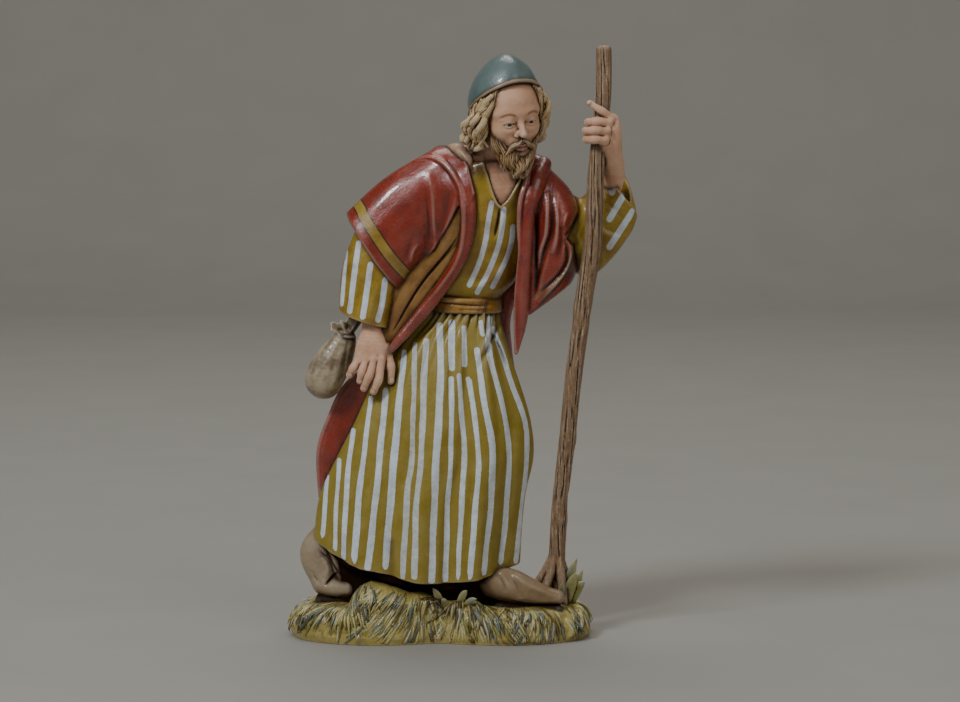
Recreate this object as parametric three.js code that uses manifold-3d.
// A hand-painted crib figure moulded in one piece: a stooping wayfarer in a striped robe and a red mantle,
// with a skull cap, a tied sack and a tall staff, on a mound of grass. Millimetres, +Z up, +Y behind the figure.
import * as THREE from "three";
import { mergeVertices } from "three/addons/utils/BufferGeometryUtils.js";
import Module from "manifold-3d";

// Driving dimensions
const figureHeight = 112.4; // from the top of the turf to the top of the cap
const turfLength = 62.4;
const turfDepth = 31;
const turfHeight = 7;
const staffDiameter = 3.2;
const staffReach = 115.2; // from the top of the turf to the staff's tip
const mantleCloth = 1.1; // how far the mantle stands off the robe
const beltWidth = 3.6;
const hemRecess = 4.4; // how far the dark filling under the skirt stands back from its hem
const grassRelief = 0.28; // how far the blades of grass stand out of the turf's flank
const turfSwell = 4.6; // how high the grass swells up in front of the hem
const leafRoot = 3.4; // how deep the leaves are rooted in the turf
const colour = { paint: 0xa8873a };

const wasm = await Module();
wasm.setup();

// The carving is placed in thousandths of the figure's height, measured from the top of the turf.
const unit = figureHeight / 1000;
const at = (x, y, z) => new THREE.Vector3(x * unit, y * unit, turfHeight + z * unit);
const lerp = THREE.MathUtils.lerp;
const radians = THREE.MathUtils.degToRad;
const FULL_TURN = 2 * Math.PI;

// A smooth value along a table of [position, value] rows.
function along(table, position) {
  const last = table.length - 1;
  let i = 0;
  while (i < last - 1 && position > table[i + 1][0]) i += 1;
  const share = THREE.MathUtils.clamp((position - table[i][0]) / (table[i + 1][0] - table[i][0]), 0, 1);
  const before = table[Math.max(i - 1, 0)][1];
  const after = table[Math.min(i + 2, last)][1];
  const slopeIn = (table[i + 1][1] - before) / 2;
  const slopeOut = (after - table[i][1]) / 2;
  const s2 = share * share;
  const s3 = s2 * share;
  return (
    (2 * s3 - 3 * s2 + 1) * table[i][1] +
    (s3 - 2 * s2 + share) * slopeIn +
    (3 * s2 - 2 * s3) * table[i + 1][1] +
    (s3 - s2) * slopeOut
  );
}

// A smooth hump of height 1 at 0 that ends at -1 and 1.
const hump = (v) => (Math.abs(v) < 1 ? (1 - v * v) ** 2 : 0);

// A closed mesh as a solid that can be joined and cut.
function solidOf(geometry) {
  const bare = geometry.clone();
  bare.deleteAttribute("normal");
  bare.deleteAttribute("uv");
  const merged = mergeVertices(bare, 1e-4);
  const mesh = { numProp: 3, vertProperties: merged.attributes.position.array };
  return new wasm.Manifold(new wasm.Mesh({ ...mesh, triVerts: new Uint32Array(merged.index.array) }));
}

function join(solids) {
  return solids.reduce((whole, solid) => whole.add(solid));
}

// A closed skin over rings of points, with a fan to a middle point at each end. Its faces point out.
function skin(rings) {
  const sides = rings[0].length;
  const middle = (ring) => ring.reduce((sum, p) => sum.add(p), new THREE.Vector3()).divideScalar(sides);
  const points = [middle(rings[0]), ...rings.flat(), middle(rings[rings.length - 1])];
  const end = points.length - 1;
  const faces = [];
  for (let side = 0; side < sides; side += 1) {
    const next = (side + 1) % sides;
    faces.push(0, 1 + side, 1 + next);
    for (let row = 0; row < rings.length - 1; row += 1) {
      const low = 1 + row * sides;
      const high = low + sides;
      faces.push(low + side, high + side, high + next, low + side, high + next, low + next);
    }
    const top = end - sides;
    faces.push(end, top + next, top + side);
  }
  let volume = 0;
  for (let i = 0; i < faces.length; i += 3) {
    const [a, b, c] = [points[faces[i]], points[faces[i + 1]], points[faces[i + 2]]];
    volume += a.dot(new THREE.Vector3().crossVectors(b, c));
  }
  if (volume < 0) faces.reverse();
  return solidOf(new THREE.BufferGeometry().setFromPoints(points).setIndex(faces));
}

// A limb through stations of [x, y, z, half-width, half-depth]. Its ends are domes, and the ends
// named in blunt are flat. No limb runs along Y.
function limb(stations, sides = 8, steps = 6, { place = at, ridge = () => 1, blunt = [] } = {}) {
  const centres = stations.map(([x, y, z]) => place(x, y, z));
  const curve = new THREE.CatmullRomCurve3(centres, false, "centripetal");
  const spread = stations.length - 1;
  const widths = stations.map((s, i) => [i / spread, s[3]]);
  const depths = stations.map((s, i) => [i / spread, s[4] ?? s[3]]);
  const rings = [];
  const addRing = (t, shift, size) => {
    const tangent = curve.getTangent(t);
    const across = new THREE.Vector3(tangent.z, 0, -tangent.x).normalize();
    const through = new THREE.Vector3().crossVectors(across, tangent).normalize();
    const width = along(widths, t) * unit;
    const depth = along(depths, t) * unit;
    const centre = curve.getPoint(t).addScaledVector(tangent, shift * Math.min(width, depth));
    const ring = [];
    for (let side = 0; side < sides; side += 1) {
      const turn = (side / sides) * FULL_TURN;
      const reach = size * ridge(turn, t);
      ring.push(
        centre
          .clone()
          .addScaledVector(across, Math.cos(turn) * width * reach)
          .addScaledVector(through, Math.sin(turn) * depth * reach),
      );
    }
    rings.push(ring);
  };
  if (!blunt.includes("start")) addRing(0, -0.8, 0.55);
  for (let step = 0; step <= steps; step += 1) addRing(step / steps, 0, 1);
  if (!blunt.includes("end")) addRing(1, 0.8, 0.55);
  return skin(rings);
}

// An egg-shaped mass at a place, with three radii.
function mass([x, y, z], [rx, ry, rz], sides = 12, rows = 7, place = at) {
  const rings = [];
  for (let row = 1; row < rows; row += 1) {
    const rise = -Math.cos((row / rows) * Math.PI);
    const reach = Math.sin((row / rows) * Math.PI);
    const ring = [];
    for (let side = 0; side < sides; side += 1) {
      const angle = (side / sides) * FULL_TURN;
      const local = new THREE.Vector3(Math.cos(angle) * reach * rx, Math.sin(angle) * reach * ry, rise * rz);
      ring.push(place(x + local.x, y + local.y, z + local.z));
    }
    rings.push(ring);
  }
  return skin(rings);
}

// A prism through the whole depth of the figure, whose outline is a front view of [x, z] corners.
function frontPrism(corners, nearY = -400, farY = 400) {
  const shape = new THREE.Shape(corners.map(([x, z]) => new THREE.Vector2(x * unit, z * unit)));
  const geometry = new THREE.ExtrudeGeometry(shape, { depth: (farY - nearY) * unit, bevelEnabled: false });
  geometry.rotateX(Math.PI / 2);
  geometry.translate(0, farY * unit, turfHeight);
  return solidOf(geometry);
}

// Robe: rows of [height, centre x, centre y, half-width, half-depth] from the skirt's hem to the neck
const robeRows = [
  [60, -46, -6, 184, 112],
  [130, -43, -6, 185, 112],
  [200, -35, -7, 183, 110],
  [265, -16, -8, 173, 106],
  [330, -3, -8, 153, 99],
  [385, 4, -8, 136, 90],
  [430, 9, -7, 120, 80],
  [480, 20, -5, 96, 68],
  [515, 33, -3, 73, 58],
  [548, 42, -4, 60, 50],
  [590, 52, -12, 80, 56],
  [640, 62, -20, 96, 62],
  [700, 76, -30, 108, 64],
  [750, 84, -38, 110, 60],
  [785, 90, -46, 84, 50],
  [812, 96, -54, 48, 40],
];
const robeAt = (z) => [1, 2, 3, 4].map((column) => along(robeRows.map((row) => [row[0], row[column]]), z));

// The skirt's hem: low in front, and lifted where the left leg in the view steps back.
const hemHeight = (turn) => 78 - 18 * Math.cos(turn) + 14 * Math.sin(turn) + 14 * Math.cos(2 * turn);

// Folds that fan out from the belt: [angle in degrees, half-width in degrees, depth]
const skirtFolds = [
  [196, 13, 9],
  [221, 11, -8],
  [240, 9, 8],
  [256, 8, -9],
  [272, 9, 8],
  [289, 8, -9],
  [305, 10, 9],
  [328, 12, -7],
  [350, 14, 8],
  [20, 14, -8],
  [48, 14, 8],
  [76, 13, -8],
  [104, 14, 8],
  [132, 13, -8],
  [160, 13, 7],
];
function foldDepth(turn, drop) {
  const degrees = (turn * 180) / Math.PI;
  const sum = skirtFolds.reduce((total, [middle, halfWidth, depth]) => {
    const off = ((degrees - middle + 540) % 360) - 180;
    return total + depth * hump(off / halfWidth);
  }, 0);
  return sum * (0.35 + 0.65 * drop);
}

function robeSkirt(sides = 48, rows = 8) {
  const rings = [];
  for (let row = 0; row <= rows; row += 1) {
    const rise = row / rows;
    const ring = [];
    for (let side = 0; side < sides; side += 1) {
      const turn = (side / sides) * FULL_TURN;
      const z = lerp(hemHeight(turn), 530, rise);
      const [cx, cy, a, b] = robeAt(z);
      const more = foldDepth(turn, 1 - rise) + 5 * Math.max(0, 1 - rise * 8);
      ring.push(at(cx + (a + more) * Math.cos(turn), cy + (b + more) * Math.sin(turn), z));
    }
    rings.push(ring);
  }
  return skin(rings);
}

function robeBody(sides = 18, rows = 6) {
  const rings = [];
  for (let row = 0; row <= rows; row += 1) {
    const z = lerp(525, 806, row / rows);
    const [cx, cy, a, b] = robeAt(z);
    const ring = [];
    for (let side = 0; side < sides; side += 1) {
      const turn = (side / sides) * FULL_TURN;
      ring.push(at(cx + a * Math.cos(turn), cy + b * Math.sin(turn), z));
    }
    rings.push(ring);
  }
  return skin(rings);
}

// Sleeves and hands
const rightSleeve = () =>
  limb(
    [
      [-100, -36, 670, 54, 46],
      [-122, -38, 610, 55, 46],
      [-132, -42, 560, 51, 43],
      [-136, -48, 522, 45, 37],
    ],
    16,
    4,
    { blunt: ["start", "end"] },
  );

const leftSleeve = () =>
  join([
    limb(
      [
        [190, -25, 722, 46, 42],
        [240, -22, 674, 64, 42],
        [284, -20, 668, 70, 42],
        [316, -20, 684, 46, 34],
      ],
      14,
      5,
    ),
    limb(
      [
        [268, -20, 668, 66, 40],
        [300, -24, 708, 56, 36],
        [320, -31, 746, 38, 30],
      ],
      12,
      3,
      { blunt: ["start", "end"] },
    ),
  ]);

const finger = (joints, radius = 8) => limb(joints.map((p) => [...p, radius]), 5, 2, { blunt: ["start"] });

function rightHand() {
  return join([
    limb(
      [
        [-124, -52, 530, 19, 17],
        [-123, -56, 500, 19, 15],
        [-124, -62, 470, 30, 15],
        [-124, -63, 448, 31, 13],
      ],
      8,
      4,
    ),
    finger([[-143, -62, 456], [-153, -66, 440], [-161, -64, 428]]),
    finger([[-133, -66, 450], [-138, -72, 434], [-144, -68, 420]]),
    finger([[-122, -68, 448], [-126, -76, 420], [-138, -72, 402]]),
    finger([[-108, -68, 448], [-110, -76, 418], [-121, -72, 396]]),
    finger([[-96, -60, 466], [-91, -64, 440], [-89, -64, 414]]),
  ]);
}

function leftHand() {
  return join([
    limb(
      [
        [318, -34, 740, 16, 14],
        [315, -52, 785, 13, 13],
        [313, -72, 828, 17, 15],
        [310, -86, 864, 19, 16],
      ],
      8,
      5,
    ),
    finger([[305, -94, 876], [284, -134, 896], [260, -128, 908]]),
    finger([[306, -96, 866], [284, -136, 874], [262, -124, 873]], 7.4),
    finger([[305, -94, 852], [282, -134, 858], [260, -120, 856]], 7.4),
    finger([[304, -90, 836], [282, -130, 842], [261, -116, 838]], 7),
    finger([[300, -76, 850], [276, -74, 864], [258, -88, 872]], 7),
  ]);
}

// Mantle: capes over both arms, cut along their hems, a back that falls below the knee, and turned-back edges
const rightCapeHem = [
  [-40, 900], [-260, 900], [-260, 740], [-168, 707], [-164, 698], [-117, 626], [-72, 575],
  [-56, 594], [-39, 618], [-10, 650], [14, 688], [31, 745], [40, 800],
];
const leftCapeHem = [
  [120, 900], [300, 900], [252, 720], [243, 704], [223, 667], [240, 655], [248, 601],
  [234, 586], [162, 529], [120, 540],
];

function mantleCapes() {
  const rightBulk = limb(
    [
      [8, -40, 764, 66, 46],
      [-55, -38, 712, 78, 54],
      [-112, -38, 652, 84, 58],
      [-160, -39, 604, 86, 58],
    ],
    14,
    3,
  );
  const leftBulk = limb(
    [
      [176, -40, 772, 30, 38],
      [196, -44, 715, 52, 48],
      [200, -46, 650, 52, 48],
      [190, -42, 590, 46, 40],
      [166, -40, 540, 24, 26],
    ],
    12,
    5,
  );
  return join([
    rightBulk.intersect(frontPrism(rightCapeHem)),
    leftBulk.intersect(frontPrism(leftCapeHem)),
  ]);
}

// Back rows: [height, centre x, centre y, half-width, half-depth]
const backRows = [
  [200, -56, 12, 172, 122],
  [270, -49, 12, 170, 118],
  [340, -31, 12, 162, 108],
  [400, -14, 12, 146, 96],
  [460, 14, 12, 116, 82],
  [520, 36, 12, 92, 72],
  [590, 56, 8, 96, 72],
  [660, 70, -4, 116, 74],
  [730, 84, -14, 124, 72],
  [780, 90, -22, 104, 62],
  [808, 94, -26, 72, 48],
];
function mantleBack(sides = 24) {
  const cloth = mantleCloth / unit;
  const last = backRows.length - 1;
  const rings = backRows.map(([z, cx, cy, a, b], row) => {
    const ring = [];
    for (let side = 0; side < sides; side += 1) {
      const turn = (side / sides) * FULL_TURN;
      const behind = Math.sin(turn) > 0 ? 1 : 0.12;
      const fold = cloth * 0.7 * Math.sin(9 * turn + 0.4) * Math.max(0, Math.sin(turn)) * (1 - row / last);
      const level = row === 0 ? z + 5 - 10 * Math.cos(turn) : z;
      ring.push(at(cx + (a + fold) * Math.cos(turn), cy + (b + fold) * Math.sin(turn) * behind, level));
    }
    return ring;
  });
  return skin(rings);
}

// Turned-back front edges and the roll behind the neck
function mantleEdges() {
  const roll = mantleCloth / unit;
  return join([
    limb(
      [
        [0, -30, 822, 16, roll],
        [34, -66, 796, 18, roll],
        [50, -90, 745, 15, roll],
        [50, -96, 690, 13, roll],
        [38, -90, 640, 12, roll],
        [8, -76, 588, 12, roll],
        [-34, -66, 532, 12, roll],
        [-70, -66, 486, 8, roll * 0.8],
      ],
      6,
      9,
    ),
    limb(
      [
        [186, -46, 800, 14, roll * 1.4],
        [170, -80, 768, 18, roll * 1.2],
        [158, -92, 712, 15, roll],
        [156, -90, 640, 12, roll],
        [155, -72, 570, 13, roll],
        [150, -58, 515, 10, roll],
        [141, -52, 462, 4, roll * 0.6],
      ],
      6,
      7,
    ),
    limb(
      [
        [10, -20, 814, 16, 16],
        [52, 10, 822, 15, 16],
        [104, 18, 826, 16, 18],
        [176, -20, 800, 16, 18],
      ],
      6,
      5,
    ),
  ]);
}

// Falling folds of the mantle, each a low ridge
const mantleRidges = [
  [[196, -70, 772, 9, 10], [192, -86, 725, 13, 12], [186, -86, 670, 13, 12], [172, -74, 600, 10, 10]],
  [[-26, -70, 772, 8, 8], [-28, -86, 710, 10, 10], [-30, -88, 655, 10, 10], [-44, -84, 620, 7, 8]],
  [[16, -80, 640, 7, 8], [-10, -80, 590, 10, 10], [-50, -70, 530, 10, 10], [-84, -62, 482, 7, 8]],
];
const mantleFolds = () => join(mantleRidges.map((stations) => limb(stations, 5, 4)));

// Belt: a flat band tied round the waist
const beltMiddle = 546;
function belt(sides = 14) {
  const halfWidth = beltWidth / unit / 2;
  const [cx, cy, a, b] = robeAt(beltMiddle);
  const rings = [-1, -0.55, 0.55, 1].map((level) => {
    const out = Math.abs(level) === 1 ? 5 : 10;
    const ring = [];
    for (let side = 0; side < sides; side += 1) {
      const turn = (side / sides) * FULL_TURN;
      const z = beltMiddle + level * halfWidth;
      ring.push(at(cx + (a + out) * Math.cos(turn), cy + (b + out) * Math.sin(turn), z));
    }
    return ring;
  });
  return skin(rings);
}

// The robe's V neck, edged with a thin cord
function collar() {
  return join([
    limb([[64, -84, 788, 5, 6], [88, -98, 752, 5, 6], [109, -100, 722, 5, 6]], 4, 2),
    limb([[148, -84, 780, 5, 6], [130, -98, 748, 5, 6], [111, -100, 722, 5, 6]], 4, 2),
  ]);
}

// Head: carved about its own middle, then tipped forward, turned and leant. Its face is calm and plain.
const headTurn = new THREE.Euler(radians(14), radians(-7), radians(24), "ZYX");
const headMiddle = [120, -92, 885];
const onHead = (x, y, z) => {
  const local = new THREE.Vector3(x, y, z).applyEuler(headTurn);
  return at(headMiddle[0] + local.x, headMiddle[1] + local.y, headMiddle[2] + local.z);
};
const headMass = (middle, radii, sides, rows) => mass(middle, radii, sides, rows, onHead);
const headLimb = (stations, sides, steps) => limb(stations, sides, steps, { place: onHead });

function face() {
  return join([
    headMass([0, 6, 26], [58, 66, 64], 12, 8),
    headMass([0, -18, -22], [46, 40, 54], 12, 6),
    headMass([0, -44, 20], [36, 14, 11], 8, 4),
    headLimb([[0, -56, 10, 6, 7], [0, -65, -8, 7, 8], [0, -62, -20, 11, 8]], 5, 2),
    headMass([-20, -49, 5], [10, 7, 6], 6, 4),
    headMass([20, -49, 5], [10, 7, 6], 6, 4),
  ]);
}

function neck() {
  return limb([[82, -36, 772, 46, 42], [98, -54, 815, 38, 36], [112, -74, 856, 34, 34]], 10, 2);
}

function beard() {
  const locks = [-26, 0, 26].map((side, lock) => {
    const deep = Math.abs(side) * 0.5;
    const sway = lock % 2 === 0 ? 5 : -5;
    const stations = [
      [side, -50 + deep, -50, 14, 9],
      [side * 0.9 + sway, -59 + deep, -76, 14, 10],
      [side * 0.6 - sway, -54 + deep, -97 + deep * 0.6, 4, 4],
    ];
    return headLimb(stations, 5, 2);
  });
  const moustache = [-1, 1].map((side) =>
    headLimb([[side * 3, -60, -30, 5, 6], [side * 15, -58, -35, 6, 6], [side * 28, -48, -50, 4, 5]], 5, 2),
  );
  return join([headMass([0, -32, -58], [44, 26, 34], 9, 5), ...locks, ...moustache]);
}

function hair() {
  const locks = [];
  for (const side of [-1, 1]) {
    for (let lock = 0; lock < 3; lock += 1) {
      const back = -28 + lock * 32;
      const wave = lock % 2 === 0 ? 7 : -5;
      const stations = [
        [side * 50, back, 40, 12, 14],
        [side * (60 + wave * 0.4), back + wave, 6, 14, 15],
        [side * (64 - wave * 0.4), back - wave, -26, 14, 15],
        [side * 56, back + wave, -56 + lock * 3, 8, 9],
      ];
      locks.push(headLimb(stations, 5, 2));
    }
  }
  return join([headMass([0, 42, -12], [58, 34, 60], 9, 5), ...locks]);
}

// Skull cap: a full dome over the cranium, cut on the slant so that it sits high over the brow and low behind
const capRim = { level: 28, slope: -0.86 };
function cap() {
  const dome = headMass([0, 7, 26], [67, 73, 85], 16, 9);
  const corner = (x, y, lift) => onHead(x, y, capRim.level + capRim.slope * y + lift);
  const box = [0, 200].map((lift) => [
    corner(-120, -120, lift),
    corner(120, -120, lift),
    corner(120, 120, lift),
    corner(-120, 120, lift),
  ]);
  return dome.intersect(skin(box));
}

// Sack: a full pouch with a tied, ruffled neck
function sack() {
  return join([
    limb(
      [
        [-169, -16, 490, 11, 11],
        [-178, -15, 470, 20, 19],
        [-192, -14, 445, 34, 31],
        [-202, -14, 420, 41, 36],
        [-206, -14, 404, 37, 32],
      ],
      12,
      5,
    ),
    limb([[-169, -18, 486, 10, 9], [-167, -20, 506, 22, 13]], 7, 1, { blunt: ["start", "end"] }),
    limb([[-122, -22, 548, 8, 8], [-146, -22, 522, 10, 10], [-164, -20, 496, 10, 10]], 5, 2),
  ]);
}

// Shoes and what fills the skirt above them
function frontShoe() {
  return limb(
    [
      [96, -52, 40, 30, 26],
      [126, -54, 32, 31, 27],
      [156, -58, 25, 27, 25],
      [190, -62, 15, 19, 21],
      [214, -66, 13, 13, 16],
    ],
    10,
    5,
  );
}

function rearShoe() {
  return join([
    limb(
      [
        [-204, 4, 104, 34, 30],
        [-224, 2, 76, 35, 30],
        [-212, -4, 46, 32, 28],
        [-200, -10, 26, 22, 24],
      ],
      10,
      4,
    ),
    limb([[-210, -12, 32, 25, 26], [-188, -26, 25, 22, 23], [-164, -40, 20, 14, 17]], 8, 2),
  ]);
}

function skirtFilling(sides = 16) {
  const inset = hemRecess / unit;
  const rings = [-20, 130].map((z) => {
    const ring = [];
    for (let side = 0; side < sides; side += 1) {
      const turn = (side / sides) * FULL_TURN;
      ring.push(at(-42 + (160 - inset) * Math.cos(turn), -4 + (106 - inset) * Math.sin(turn), z));
    }
    return ring;
  });
  return skin(rings);
}

// Staff: a bent branch with a furrowed bark and a splayed foot
const staffLine = [
  [212, 6, -20], [212, -4, 60], [217, -20, 180], [229, -40, 302], [242, -58, 436],
  [259, -75, 567], [274, -90, 667], [277, -104, 797], [286, -113, 924],
];
function staff() {
  const radius = staffDiameter / unit / 2;
  const tip = [288, -121, staffReach / unit - radius * 0.8];
  const furrow = (turn, t) => 1 + 0.07 * Math.sin(3 * turn + 5 * t) + 0.04 * Math.sin(5 * turn - 9 * t);
  const shaft = limb([...staffLine, tip].map((p) => [...p, radius]), 8, 10, { ridge: furrow });
  const root = (x, y) =>
    limb([[210, -4, 74, radius * 0.6], [x, y, 40, radius * 0.7], [x * 0.97, y, 0, radius * 0.4]], 5, 2);
  return join([shaft, root(182, -12), root(200, -20)]);
}

// Turf: a mound with a waist in front, its sides combed into blades of grass that fan from tufts
const turfHalf = [turfLength / 2, turfDepth / 2];
const turfTufts = 12;
function turfPlan(turn) {
  const [c, s] = [Math.cos(turn), Math.sin(turn)];
  const square = 1 / (Math.abs(c) ** 2.6 + Math.abs(s) ** 2.6) ** (1 / 2.6);
  const waist = s < 0 ? 1 - 0.2 * hump(c / 0.5) : 1 - 0.06 * hump(c / 0.5);
  return [turfHalf[0] * square * c, turfHalf[1] * square * s * waist];
}
const turfTop = (x) => {
  const share = x / turfHalf[0];
  return turfHeight * (1 + 0.08 * hump((share + 0.62) / 0.35) - 0.05 * hump((share - 0.1) / 0.5));
};
function turf(sides = 60) {
  const profile = [[0.985, 0, 0], [1, 0.34, 0.9], [0.98, 0.68, 1], [0.9, 0.94, 0.8], [0.78, 1, 0]];
  const rings = profile.map(([inward, level, comb], row) => {
    const ring = [];
    for (let side = 0; side < sides; side += 1) {
      const tuft = (side / sides) * turfTufts;
      const spread = (tuft - Math.floor(tuft) - 0.5) * (1 - level) * 1.4;
      const turn = ((tuft + spread * (row > 0 ? 1 : 0)) / turfTufts) * FULL_TURN;
      const blade = comb * (side % 2 === 0 ? grassRelief : -grassRelief) * (1 + 0.4 * Math.sin(side * 1.7));
      const [x, y] = turfPlan(turn);
      const reach = inward + (blade - 0.7 * grassRelief * comb) / Math.hypot(x, y);
      ring.push(new THREE.Vector3(x * reach, y * reach, turfTop(x) * level + blade * 0.5 * level));
    }
    return ring;
  });
  return skin(rings);
}

// The grass swells up in front of the hem, most towards the left in the view
function turfSwelling() {
  const swell = turfSwell / unit;
  const depth = 34;
  return limb(
    [
      [-150, -50, -8, swell * 0.9, depth],
      [-100, -62, 0, swell, depth],
      [-40, -66, -3, swell, depth],
      [20, -64, -8, swell * 0.9, depth],
      [84, -58, -14, swell * 0.8, depth],
    ],
    7,
    2,
  );
}

// Leaves that stand up: a pair before the hem and a broad cluster that grows out of the staff's foot
function leaves() {
  const leaf = (x, y, tipX, tipY, tipZ, width) => {
    const middle = [(x + tipX) / 2, (y + tipY) / 2, tipZ / 2, width, 5];
    return limb([[x, y, -leafRoot / unit, width * 0.6, 5], middle, [tipX, tipY, tipZ, 3, 3]], 4, 2);
  };
  return join([
    leaf(10, -84, -6, -98, 42, 8),
    leaf(22, -84, 40, -96, 38, 8),
    leaf(226, -6, 258, -16, 66, 12),
    leaf(222, -16, 236, -36, 52, 11),
    leaf(228, 4, 262, 10, 40, 11),
  ]);
}

const figure = join([
  turf(),
  turfSwelling(),
  leaves(),
  skirtFilling(),
  frontShoe(),
  rearShoe(),
  robeSkirt(),
  robeBody(),
  belt(),
  collar(),
  neck(),
  rightSleeve(),
  leftSleeve(),
  rightHand(),
  leftHand(),
  mantleCapes(),
  mantleBack(),
  mantleEdges(),
  mantleFolds(),
  face(),
  beard(),
  hair(),
  cap(),
  sack(),
  staff(),
]);

function meshOf(name, solid, paint) {
  const made = solid.getMesh();
  const geometry = new THREE.BufferGeometry();
  geometry.setAttribute("position", new THREE.BufferAttribute(Float32Array.from(made.vertProperties), 3));
  geometry.setIndex(Array.from(made.triVerts));
  geometry.computeVertexNormals();
  const material = new THREE.MeshStandardMaterial({ color: paint, roughness: 0.45, metalness: 0 });
  const mesh = new THREE.Mesh(geometry, material);
  mesh.name = name;
  return mesh;
}

const part = new THREE.Group();
part.add(meshOf("figure", figure, colour.paint));
export default part;
